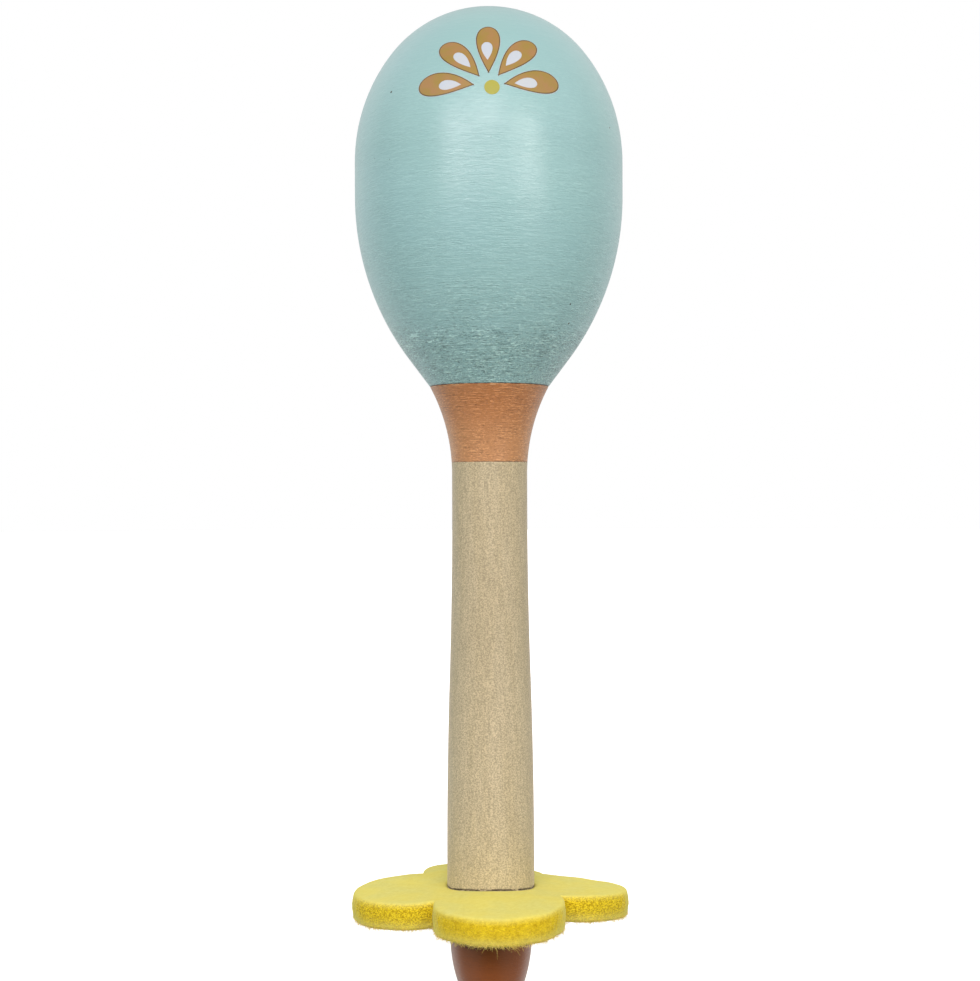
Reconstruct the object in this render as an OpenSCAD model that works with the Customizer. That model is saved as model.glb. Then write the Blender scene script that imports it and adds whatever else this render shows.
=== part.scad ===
// Wooden maraca: a hollow turned head with loose pellets, a flared neck collar, a waisted handle,
// a drooping felt flower and a turned end knob.
// Millimetres. +Z runs up the turning axis, and the origin is the centre of the knob's foot.

/* [Head] */
// Widest diameter of the head
head_d = 54; // [46:1:62]
// Radius of the shoulder's arc, above the widest band
shoulder_r = 35; // [30:1:48]
// Height of the crown's centre above the widest band
crown_rise = 6; // [3:0.5:10]
// Height of the upright band round the widest part
band_h = 7; // [3:0.5:10]
// Diameter where the head meets the neck collar
neck_d = 24; // [21:0.2:28]
// Growth of the radius up the straight taper above the neck, for each unit of height
taper_slope = 0.75; // [0.6:0.05:0.9]
// Height of the straight taper
taper_h = 5.6; // [3:0.2:10]
// Wall thickness round the rattle chamber
wall = 4; // [3:0.25:5]
// Thickness of the chamber's floor
floor_t = 11; // [9.5:0.5:14]
// Height of the glued lap between the dome and the bowl
lap_h = 4; // [3:0.5:6]

/* [Neck collar] */
// Height of the collar
collar_h = 15.3; // [12:0.1:20]
// How far the collar's flare runs on down the handle
flare_tail = 2.3; // [0.5:0.1:5]

/* [Handle] */
// Length between the collar and the felt
handle_l = 84.5; // [75:0.5:95]
// Diameter at the waist, under the flare
waist_d = 15.2; // [13:0.2:17]
// Length of the straight waist
waist_l = 5.2; // [2:0.2:12]
// How much the radius grows from the waist to the butt
grip_swell = 1.2; // [0.6:0.1:2.4]
// Length of the straight butt
butt_l = 5; // [2:1:10]
// Chamfer round the butt's edge
edge_break = 0.4; // [0.2:0.1:0.8]
// Diameter of the tenon through the collar
tenon_d = 9; // [7:0.5:10]
// Depth of the tenon in the head
tenon_in_head = 8; // [6:0.5:8]

/* [Felt flower] */
// Thickness of the felt
felt_t = 5; // [3:0.5:7]
// Number of petals
petal_count = 4; // [4:1:6]
// Diameter of a petal's round end
petal_d = 25.5; // [23:0.5:28]
// Distance from the axis to a petal's tip
petal_reach = 27.8; // [25:0.2:31]
// Turn of the flower about the axis
petal_turn = 6; // [0:1:45]
// Drop of the petals' tips
felt_droop = 1.4; // [0.6:0.1:2.6]

/* [End knob] */
// Widest diameter of the knob
knob_d = 16.5; // [15:0.1:19]
// Height of the knob
knob_h = 19.2; // [17:0.2:23]
// Height of its widest line above the foot
knob_belly = 13; // [11:0.5:15]
// Radius of its barrel-shaped side
barrel_r = 29; // [25:1:40]
// Rounding of the edge round its foot
foot_round = 3; // [2:0.25:4]

/* [Dowel] */
// Diameter of the dowel through the felt
dowel_d = 8; // [6:0.5:9]
// Depth of the dowel in the handle
dowel_in_handle = 12; // [9:0.5:20]
// Depth of the dowel in the knob
dowel_in_knob = 11; // [8:0.5:12]
// Space for glue past the ends of the dowel and the tenon
glue_space = 1; // [0.5:0.25:1.5]

/* [Pellets] */
// Diameter of a rattle pellet
pellet_d = 4.5; // [3:0.1:5]
// Gap between neighbouring pellets
pellet_gap = 0.6; // [0.4:0.1:1]
// Gap under a pellet on the chamber's floor
pellet_seat = 0.2; // [0.1:0.05:0.3]
// Rings of pellets round the middle one
pellet_rings = 2; // [1:1:2]

/* [Hidden] */
$fn = 144;
head_r = head_d / 2;
neck_r = neck_d / 2;
waist_r = waist_d / 2;
butt_r = waist_r + grip_swell;
tenon_r = tenon_d / 2;
dowel_r = dowel_d / 2;
knob_r = knob_d / 2;
petal_r = petal_d / 2;
pellet_r = pellet_d / 2;
far = head_r + petal_reach;

// Heights of the joints, from the foot up
felt_z = knob_h;
handle_z = felt_z + felt_t;
collar_z = handle_z + handle_l;
neck_z = collar_z + collar_h;

// Head: taper, belly arc, upright band, shoulder arc and crown arc, each tangent to the next
taper_cos = 1 / sqrt(1 + pow(taper_slope, 2));
taper_sin = taper_slope * taper_cos;
belly_r = (head_r - neck_r - taper_h * taper_slope) / (1 - taper_cos);
band_z = neck_z + taper_h + belly_r * taper_sin;
shoulder_z = band_z + band_h;
crown_gap = sqrt(pow(crown_rise, 2) + pow(shoulder_r - head_r, 2));
crown_r = shoulder_r - crown_gap;
crown_z = shoulder_z + crown_rise;
crown_sin = crown_rise / crown_gap;
top_z = crown_z + crown_r;
floor_z = neck_z + floor_t;
seam_z = band_z + band_h / 2;
lap_r = head_r - wall / 2;

// Neck flare: one hollow arc from the head's edge to upright on the waist
flare_h = collar_h + flare_tail;
flare_r = (pow(flare_h, 2) + pow(neck_r - waist_r, 2)) / (2 * (neck_r - waist_r));
flare_end_z = collar_z - flare_tail;

// Grip: a hollow arc and a full arc of one radius make the swell
swell_top_z = flare_end_z - waist_l;
swell_bottom_z = handle_z + butt_l;
swell_mid_z = (swell_top_z + swell_bottom_z) / 2;
swell_half = (swell_top_z - swell_bottom_z) / 2;
swell_r = (pow(swell_half, 2) + pow(grip_swell / 2, 2)) / grip_swell;

// Felt: flat where it is clamped, then one arc down to the tips
droop_r = (pow(petal_reach - butt_r, 2) + pow(felt_droop, 2)) / (2 * felt_droop);
felt_depth = felt_t + 2 * felt_droop;

// Knob: barrel side and rounded foot, tangent to each other
foot_angle = asin((knob_belly - foot_round) / (barrel_r - foot_round));
foot_r = knob_r - barrel_r + (barrel_r - foot_round) * cos(foot_angle);
foot_meet_z = foot_round * (1 - sin(foot_angle));
knob_rim_r = knob_r - barrel_r + sqrt(pow(barrel_r, 2) - pow(knob_h - knob_belly, 2)) - edge_break;

// Pellets: a hexagonal layer, as [column, row] steps within the rings
pellet_step = pellet_d + pellet_gap;
pellet_cells = [
    for (row = [-pellet_rings : pellet_rings])
        for (column = [-pellet_rings : pellet_rings])
            if (abs(row + column) <= pellet_rings) [column, row]
];
pellet_count = len(pellet_cells);
function pellet_at(i) = [
    pellet_step * (pellet_cells[i - 1][0] + pellet_cells[i - 1][1] / 2),
    pellet_step * pellet_cells[i - 1][1] * sqrt(3) / 2,
    floor_z + pellet_seat + pellet_r
];
function pellet_name(i) = str("pellet_", i);

// Strip of a half outline between two heights, from the axis out to a radius
module level(low, high, out = far) {
    polygon([[0, low], [out, low], [out, high], [0, high]]);
}

// Half outline of the head, moved in by a wall
module head_outline(inset) {
    crown_low = crown_z + (crown_r - inset) * crown_sin;
    belly_low = band_z - (belly_r - inset) * taper_sin;
    belly_edge = head_r - belly_r + (belly_r - inset) * taper_cos;
    neck_edge = belly_edge - (belly_low - neck_z) * taper_slope;
    intersection() {
        translate([0, crown_z])
            circle(r = crown_r - inset);
        level(crown_low, top_z + 1);
    }
    intersection() {
        translate([head_r - shoulder_r, shoulder_z])
            circle(r = shoulder_r - inset);
        level(shoulder_z, crown_low);
    }
    level(band_z, shoulder_z, head_r - inset);
    intersection() {
        translate([head_r - belly_r, band_z])
            circle(r = belly_r - inset);
        level(belly_low, band_z);
    }
    polygon([[0, neck_z], [neck_edge, neck_z], [belly_edge, belly_low], [0, belly_low]]);
}

// Half section of the head's shell, with its solid floor
module shell_outline() {
    difference() {
        head_outline(0);
        intersection() {
            head_outline(wall);
            level(floor_z, top_z);
        }
    }
}

// What belongs to the bowl: all below the seam, and the lap inside the dome
module bowl_zone() {
    level(neck_z - 1, seam_z);
    level(neck_z, seam_z + lap_h, lap_r);
}

module head_dome() {
    color("mediumaquamarine")
        rotate_extrude()
            difference() {
                shell_outline();
                bowl_zone();
            }
}

module head_bowl() {
    color("cadetblue")
        difference() {
            rotate_extrude()
                intersection() {
                    shell_outline();
                    bowl_zone();
                }
            translate([0, 0, neck_z - 1])
                cylinder(r = tenon_r, h = tenon_in_head + glue_space + 1);
        }
}

// Half outline of the flare between two heights
module flare_outline(low, high) {
    difference() {
        level(low, high, neck_r + flare_tail);
        translate([waist_r + flare_r, flare_end_z])
            circle(r = flare_r, $fn = 720);
    }
}

module neck_collar() {
    color("peru")
        difference() {
            rotate_extrude()
                flare_outline(collar_z, neck_z);
            translate([0, 0, collar_z - 1])
                cylinder(r = tenon_r, h = collar_h + 2);
        }
}

// Half outline of the grip: waist, hollow arc, full arc and butt with its broken edge
module grip_outline() {
    flare_outline(flare_end_z, collar_z);
    level(swell_top_z, flare_end_z, waist_r);
    difference() {
        level(swell_mid_z, swell_top_z, butt_r);
        translate([waist_r + swell_r, swell_top_z])
            circle(r = swell_r, $fn = 2880);
    }
    intersection() {
        translate([butt_r - swell_r, swell_bottom_z])
            circle(r = swell_r, $fn = 2880);
        level(swell_bottom_z, swell_mid_z);
    }
    polygon([
        [0, handle_z],
        [butt_r - edge_break, handle_z],
        [butt_r, handle_z + edge_break],
        [butt_r, swell_bottom_z],
        [0, swell_bottom_z]
    ]);
}

module handle() {
    color("burlywood")
        difference() {
            union() {
                rotate_extrude()
                    grip_outline();
                translate([0, 0, collar_z])
                    cylinder(r = tenon_r, h = collar_h + tenon_in_head);
            }
            translate([0, 0, handle_z - 1])
                cylinder(r = dowel_r, h = dowel_in_handle + glue_space + 1);
        }
}

// Half section under the felt's upper face, down to a depth
module droop_outline() {
    translate([0, -felt_depth])
        square([butt_r, felt_depth]);
    intersection() {
        translate([butt_r, -droop_r])
            circle(r = droop_r, $fn = 720);
        translate([butt_r, -felt_depth])
            square([petal_reach + 1 - butt_r, felt_depth]);
    }
}

module flower_outline() {
    circle(r = petal_reach - petal_r);
    for (i = [0 : petal_count - 1])
        rotate(petal_turn + i * 360 / petal_count)
            translate([petal_reach - petal_r, 0])
                circle(r = petal_r);
}

module felt_flower() {
    color("khaki")
        difference() {
            intersection() {
                translate([0, 0, handle_z])
                    rotate_extrude()
                        difference() {
                            droop_outline();
                            translate([0, -felt_t])
                                droop_outline();
                        }
                translate([0, 0, handle_z - 2 * felt_depth])
                    linear_extrude(height = 2 * felt_depth + 1)
                        flower_outline();
            }
            translate([0, 0, handle_z - 2 * felt_depth])
                cylinder(r = dowel_r, h = 2 * felt_depth + 1);
        }
}

module knob_dowel() {
    color("tan")
        translate([0, 0, felt_z - dowel_in_knob])
            cylinder(r = dowel_r, h = dowel_in_knob + felt_t + dowel_in_handle);
}

// Half outline of the knob: foot, rounded edge, barrel side and top with its broken edge
module knob_outline() {
    level(0, foot_meet_z, foot_r);
    intersection() {
        translate([foot_r, foot_round])
            circle(r = foot_round);
        level(0, foot_meet_z);
    }
    intersection() {
        translate([knob_r - barrel_r, knob_belly])
            circle(r = barrel_r, $fn = 360);
        polygon([
            [0, foot_meet_z],
            [knob_r + edge_break, foot_meet_z],
            [knob_r + edge_break, knob_h - (knob_r + edge_break - knob_rim_r)],
            [knob_rim_r, knob_h],
            [0, knob_h]
        ]);
    }
}

module end_knob() {
    color("sienna")
        difference() {
            rotate_extrude()
                knob_outline();
            translate([0, 0, felt_z - dowel_in_knob - glue_space])
                cylinder(r = dowel_r, h = dowel_in_knob + glue_space + 1);
        }
}

module pellet(i) {
    color("ivory")
        translate(pellet_at(i))
            sphere(r = pellet_r);
}

head_dome();
head_bowl();
neck_collar();
handle();
felt_flower();
knob_dowel();
end_knob();
for (i = [1 : pellet_count])
    pellet(i);
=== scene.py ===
"""Dresses the wooden maraca in its finishes and stands it in a plain studio.

The turned wood, the felt flower and the printed rosette are built here in millimetres, in the frame
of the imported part: +Z runs up the turning axis, and the origin is the centre of the knob's foot.
"""

import logging
import math
from dataclasses import dataclass, field
from enum import Enum
from typing import Any, Union

import bpy
import numpy as np
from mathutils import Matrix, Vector, noise

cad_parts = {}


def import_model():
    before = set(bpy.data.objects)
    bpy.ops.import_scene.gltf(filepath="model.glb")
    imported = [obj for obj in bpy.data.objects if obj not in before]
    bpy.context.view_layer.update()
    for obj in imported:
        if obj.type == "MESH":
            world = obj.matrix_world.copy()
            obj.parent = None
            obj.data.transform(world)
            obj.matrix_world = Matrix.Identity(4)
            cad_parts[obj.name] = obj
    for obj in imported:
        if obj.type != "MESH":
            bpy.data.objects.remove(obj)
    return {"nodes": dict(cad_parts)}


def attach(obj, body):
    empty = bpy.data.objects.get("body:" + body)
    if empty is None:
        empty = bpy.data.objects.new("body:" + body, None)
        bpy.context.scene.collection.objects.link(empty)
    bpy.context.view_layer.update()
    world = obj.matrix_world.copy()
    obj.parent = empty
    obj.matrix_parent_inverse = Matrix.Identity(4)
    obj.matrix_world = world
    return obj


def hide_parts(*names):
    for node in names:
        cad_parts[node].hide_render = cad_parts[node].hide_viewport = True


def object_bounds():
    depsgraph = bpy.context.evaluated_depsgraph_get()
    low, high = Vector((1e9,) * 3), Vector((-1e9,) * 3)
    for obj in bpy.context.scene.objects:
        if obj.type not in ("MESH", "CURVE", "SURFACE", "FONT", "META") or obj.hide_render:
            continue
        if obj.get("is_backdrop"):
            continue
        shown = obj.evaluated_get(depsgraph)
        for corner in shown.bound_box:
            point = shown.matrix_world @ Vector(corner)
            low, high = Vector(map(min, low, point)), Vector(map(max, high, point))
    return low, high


LOG = logging.getLogger("maraca")
MM = 0.001
TURN = 2 * math.pi
WHITE = (1.0, 1.0, 1.0)
BODY = "maraca"
UV_NAME = "OFBake"

Point = tuple[float, float]
Spot = tuple[float, float, float]
Colour = tuple[float, float, float]
Profile = list[Point]
Feed = Union["Value", float, tuple]


class Slot(Enum):
    """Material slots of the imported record."""

    MINT = "mint_lacquer"
    TERRACOTTA = "terracotta_lacquer"
    WOOD = "bare_wood"
    FELT = "yellow_felt"
    DOWEL = "dowel_wood"
    PELLET = "pellet"


class Effect(Enum):
    """Shader effects that several finishes share."""

    TURNING = "turning_marks"
    FLECKS = "wood_flecks"
    SPECKS = "paint_specks"
    MOTTLE = "soft_mottle"
    EDGE = "paint_edge"
    NAP = "felt_nap"


class Layer(Enum):
    """Layers of the rosette print, by their height over the lacquer in millimetres."""

    BASE = 0.02
    INK = 0.04
    RIM = 0.045


def linear(*screen: int) -> Colour:
    """Turns a colour as seen on a screen, from 0 to 255, into scene-linear values."""
    shares = [value / 255 for value in screen]
    return tuple(s / 12.92 if s <= 0.04045 else ((s + 0.055) / 1.055) ** 2.4 for s in shares)


# ---- shader graphs ----


class Value:
    """A value in a shader graph. Numbers take part in sums and products."""

    def __init__(self, graph: "Graph", socket: bpy.types.NodeSocket) -> None:
        """Keeps the graph, and the socket that puts the value out."""
        self.graph, self.socket = graph, socket

    def __add__(self, other: Feed) -> "Value":
        """Adds a number."""
        return self.graph.math("ADD", self, other)

    def __sub__(self, other: Feed) -> "Value":
        """Takes a number away."""
        return self.graph.math("SUBTRACT", self, other)

    def __rsub__(self, other: float) -> "Value":
        """Takes this number away from another."""
        return self.graph.math("SUBTRACT", other, self)

    def __mul__(self, other: Feed) -> "Value":
        """Multiplies by a number."""
        return self.graph.math("MULTIPLY", self, other)

    def __truediv__(self, other: Feed) -> "Value":
        """Divides by a number."""
        return self.graph.math("DIVIDE", self, other)


class Graph:
    """Adds nodes to a node tree and joins their sockets."""

    def __init__(self, tree: bpy.types.NodeTree) -> None:
        """Keeps the tree that the nodes go into."""
        self.tree = tree

    def feed(self, socket: bpy.types.NodeSocket, value: Feed) -> None:
        """Joins an input to a value of the graph, or sets it to a number, a colour or a vector.

        Args:
            socket: The input.
            value: What it takes.
        """
        if isinstance(value, Value):
            self.tree.links.new(value.socket, socket)
        else:
            socket.default_value = (*value, 1.0) if socket.type == "RGBA" else value

    def add(
        self,
        kind: str,
        inputs: dict[str | int, Feed] | None = None,
        out: str | int = 0,
        **settings: Any,
    ) -> Value:
        """Adds one node.

        Args:
            kind: The node's type, without the ShaderNode that all of them start with.
            inputs: What its inputs take, by name or index.
            out: Name or index of the output that is wanted.
            **settings: The node's own properties.

        Returns:
            The value at that output.
        """
        node = self.tree.nodes.new("ShaderNode" + kind)
        for name, value in settings.items():
            setattr(node, name, value)
        for name, value in (inputs or {}).items():
            self.feed(node.inputs[name], value)
        return Value(self, node.outputs[out])

    def math(self, operation: str, *values: Feed) -> Value:
        """Works out an operation on one to three numbers."""
        return self.add("Math", dict(enumerate(values)), operation=operation)

    def vector(self, operation: str, *values: Feed) -> Value:
        """Works out an operation on one or two vectors."""
        return self.add("VectorMath", dict(enumerate(values)), operation=operation)

    def scale(self, vector: Feed, factor: Feed) -> Value:
        """Multiplies a vector or a colour by a number."""
        return self.add("VectorMath", {0: vector, "Scale": factor}, operation="SCALE")

    def combine(self, *parts: Feed) -> Value:
        """Puts a vector together from three numbers."""
        return self.add("CombineXYZ", dict(enumerate(parts)))

    def remap(
        self, value: Feed, low: Feed, high: Feed, start: Feed = 0.0, end: Feed = 1.0
    ) -> Value:
        """Maps a range smoothly onto the one from start to end, and holds the result there."""
        feeds = dict(enumerate((value, low, high, start, end)))
        return self.add("MapRange", feeds, interpolation_type="SMOOTHSTEP")

    def ramp(self, value: Value, stops: tuple[Point, ...]) -> Value:
        """Goes from stop to stop in smooth steps.

        Args:
            value: The value to look up.
            stops: Places in rising order, and the result at each.

        Returns:
            The result.
        """
        total: Feed = stops[0][1]
        for (low, start), (high, end) in zip(stops, stops[1:]):
            total = self.remap(value, low, high, 0.0, end - start) + total
        return total

    def tint(self, colour: Feed, tone: Value, swing: Feed) -> Value:
        """Makes a colour darker where the tone is 0 and lighter where it is 1, by a share."""
        return self.scale(colour, (tone * 2.0 - 1.0) * swing + 1.0)

    def mix(self, share: Feed, first: Feed, second: Feed) -> Value:
        """Mixes a share of a second colour into a first."""
        return self.add("Mix", {0: share, 6: first, 7: second}, 2, data_type="RGBA")

    def noise(self, where: Feed, scale: Feed, detail: float, rough: float) -> Value:
        """Gives a noise of about 0.5, with finer layers over its cells."""
        feeds = {"Vector": where, "Scale": scale, "Detail": detail, "Roughness": rough}
        return self.add("TexNoise", feeds, "Fac")

    def cells(self, counts: Feed, rough: float = 0.6) -> Value:
        """Gives a noise with so many cells to a metre along each axis."""
        return self.noise(self.vector("MULTIPLY", self.place(), counts), 1.0, 2.0, rough)

    def place(self) -> Value:
        """Gives the point on the part, in metres."""
        return self.add("TexCoord", out="Object")

    def axis(self, name: str) -> Value:
        """Gives the point's place along an axis, in metres."""
        return self.add("SeparateXYZ", {0: self.place()}, name)

    def outward(self) -> Value:
        """Gives the level direction from the turning axis to the point."""
        return self.vector("NORMALIZE", self.vector("MULTIPLY", self.place(), (1.0, 1.0, 0.0)))

    def attribute(self, name: str) -> Value:
        """Reads a number that the mesh holds at its points."""
        return self.add("Attribute", out="Fac", attribute_name=name)


class SharedEffect(Graph):
    """A node group that several finishes place, each with values of its own."""

    inputs: dict[str, float] = {}
    outputs: tuple[str, ...] = ("Tone",)

    def __init__(self, name: str) -> None:
        """Builds the group with its sockets and its nodes.

        Args:
            name: The group's name.
        """
        super().__init__(bpy.data.node_groups.new(name, "ShaderNodeTree"))
        kind = "NodeSocketFloat"
        for title, value in self.inputs.items():
            socket = self.tree.interface.new_socket(name=title, in_out="INPUT", socket_type=kind)
            socket.default_value = value
        for title in self.outputs:
            self.tree.interface.new_socket(name=title, in_out="OUTPUT", socket_type=kind)
        start = self.tree.nodes.new("NodeGroupInput")
        self.given = {title: Value(self, start.outputs[title]) for title in self.inputs}
        self.end = self.tree.nodes.new("NodeGroupOutput")
        self.fill()

    def put(self, title: str, value: Value) -> None:
        """Feeds one of the group's outputs."""
        self.feed(self.end.inputs[title], value)

    def fill(self) -> None:
        """Adds the nodes that lead from the inputs to the outputs."""
        raise NotImplementedError


class TurningMarks(SharedEffect):
    """Sparse thin lines round the axis, light and dark, as a lathe and a brush leave them."""

    inputs = {"Streaks": 44.0, "Rings": 5600.0, "Dark": 0.45, "Light": 0.525}
    layers = ((0.1, 0.35, 0.0), (0.4, 0.45, 31.0), (1.0, 0.2, 17.0))  # share, weight and start
    blur = 0.05  # from a line's edge to its full tone
    darkest = 0.8  # dark lines are weaker than light ones
    patches = (110.0, 110.0, 260.0)  # cells to a metre

    def fill(self) -> None:
        """Adds up long, short and shorter lines, and keeps their crests and troughs."""
        rise = self.combine(0.0, 0.0, self.attribute("along") * self.given["Rings"])
        total: Feed = 0.0
        for share, weight, start in self.layers:
            around = self.scale(self.outward(), self.given["Streaks"] * share)
            where = self.vector("ADD", self.vector("ADD", around, rise), (start, 0.0, start))
            total = self.noise(where, 1.0, 1.5, 0.6) * weight + total
        light = self.remap(total - self.given["Light"], 0.0, self.blur)
        dark = self.remap(self.given["Dark"] - total, 0.0, self.blur, 0.0, self.darkest)
        patch = self.remap(self.cells(self.patches, 0.5), 0.35, 0.6, 0.6, 1.0)
        self.put("Tone", (light - dark) * patch * 0.5 + 0.5)


class WoodFlecks(SharedEffect):
    """Short flecks that lie along or across the axis, as in sanded wood or cut felt."""

    inputs = {"Across": 2000.0, "Along": 1300.0}
    outputs = ("Tone", "Height")

    def fill(self) -> None:
        """Stretches one noise along the axis."""
        across = self.given["Across"]
        height = self.cells(self.combine(across, across, self.given["Along"]))
        self.put("Tone", self.remap(height, 0.35, 0.65))
        self.put("Height", height)


class PaintSpecks(SharedEffect):
    """Rare dark specks, as dust leaves them in paint."""

    inputs = {"Spacing": 300.0, "Size": 0.08, "Share": 0.1}
    outputs = ("Mask",)

    def fill(self) -> None:
        """Puts a round speck into some of the cells."""
        cells = {"Vector": self.place(), "Scale": self.given["Spacing"]}
        off, pick = (self.add("TexVoronoi", cells, out) for out in ("Distance", "Color"))
        near = self.math("LESS_THAN", off, self.given["Size"])
        chosen = self.math("LESS_THAN", self.add("SeparateColor", {0: pick}), self.given["Share"])
        self.put("Mask", near * chosen)


class SoftMottle(SharedEffect):
    """A slow change of tone over the surface."""

    inputs = {"Scale": 60.0}

    def fill(self) -> None:
        """Takes the tone from a soft noise."""
        cloud = self.noise(self.place(), self.given["Scale"], 3.0, 0.5)
        self.put("Tone", self.remap(cloud, 0.3, 0.7))


class PaintEdge(SharedEffect):
    """The dark uneven line along a joint round the axis, and bare chips under it."""

    inputs = {"Edge": 0.124, "Width": 0.0002, "Dip": 0.0}
    outputs = ("Line", "Chips")
    wobble = 0.0002  # metres
    spots = (700.0, 700.0, 3000.0)  # cells to a metre

    def fill(self) -> None:
        """Measures the height over the joint, and breaks the line and the chips into spots."""
        width, spots = self.given["Width"], self.cells(self.spots)
        swing = (self.noise(self.outward(), 9.0, 3.0, 0.6) - 0.5) * self.wobble
        side = self.add("SeparateXYZ", {0: self.outward()}, "X")
        edge = self.given["Edge"] + swing - side * side * self.given["Dip"]
        gap = self.axis("Z") - edge
        for title, off, spot in (("Line", gap, (0.62, 0.5)), ("Chips", gap + width, (0.55, 0.65))):
            near = self.remap(self.math("ABSOLUTE", off), 0.0, width, 1.0, 0.0)
            self.put(title, near * self.remap(spots, *spot))


class FeltNap(SharedEffect):
    """Matted fibre: tufts, with short hairs that cross each other."""

    inputs = {"Scale": 1500.0, "Stretch": 5.0}
    outputs = ("Tone", "Height")
    turns = (0.6, -0.9, 2.2)  # the hairs' directions in radians
    spin = (0.2, 0.3, 1.0)  # axis that they are turned about

    def fill(self) -> None:
        """Lays stretched noise in three directions over a round one."""
        scale = self.given["Scale"]
        counts = self.combine(scale / self.given["Stretch"], scale, scale)
        top: Feed = 0.0
        for turn in self.turns:
            feeds = {"Vector": self.place(), "Axis": self.spin, "Angle": turn}
            turned = self.vector("MULTIPLY", self.add("VectorRotate", feeds), counts)
            top = self.math("MAXIMUM", self.noise(turned, 1.6, 2.0, 0.6), top)
        height = top * 0.55 + self.noise(self.place(), scale, 4.0, 0.7) * 0.45
        self.put("Tone", self.remap(height, 0.38, 0.68))
        self.put("Height", height)


EFFECTS: dict[Effect, type[SharedEffect]] = {
    Effect.TURNING: TurningMarks,
    Effect.FLECKS: WoodFlecks,
    Effect.SPECKS: PaintSpecks,
    Effect.MOTTLE: SoftMottle,
    Effect.EDGE: PaintEdge,
    Effect.NAP: FeltNap,
}


# ---- finishes ----


class Coat(Graph):
    """A material in the making, with its shader and the effects that it may place."""

    def __init__(self, finish: "Finish", effects: dict[Effect, bpy.types.NodeTree]) -> None:
        """Starts the material.

        Args:
            finish: The finish that it shows.
            effects: The shared effects.
        """
        self.material = bpy.data.materials.new(finish.name)
        self.material.use_nodes = True
        self.material.diffuse_color = (*finish.colour, 1.0)
        super().__init__(self.material.node_tree)
        self.effects = effects
        self.set({"Roughness": finish.roughness})

    def set(self, values: dict[str, Feed]) -> None:
        """Feeds the shader's inputs by their names."""
        for name, value in values.items():
            self.feed(self.tree.nodes["Principled BSDF"].inputs[name], value)

    def bump(self, height: Value, depth: float) -> None:
        """Lets a height from 0 to 1 shape the surface, by a depth in millimetres."""
        feeds = {"Strength": 1.0, "Distance": depth * MM, "Height": height}
        self.set({"Normal": self.add("Bump", feeds)})

    def use(self, effect: Effect, **inputs: Feed) -> dict[str, Value]:
        """Places a shared effect with values of its own.

        Args:
            effect: The effect.
            **inputs: What its inputs take, by name.

        Returns:
            Its outputs by name.
        """
        node = self.tree.nodes.new("ShaderNodeGroup")
        node.node_tree = self.effects[effect]
        for name, value in inputs.items():
            self.feed(node.inputs[name.title()], value)
        return {out.name: Value(self, out) for out in node.outputs}


@dataclass(frozen=True)
class Finish:
    """What every finish has: its material's name, its main colour and its mean roughness."""

    name: str
    colour: Colour
    roughness: float

    def dress(self, coat: Coat) -> None:
        """Feeds the shader of the finish's material."""
        raise NotImplementedError


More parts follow.
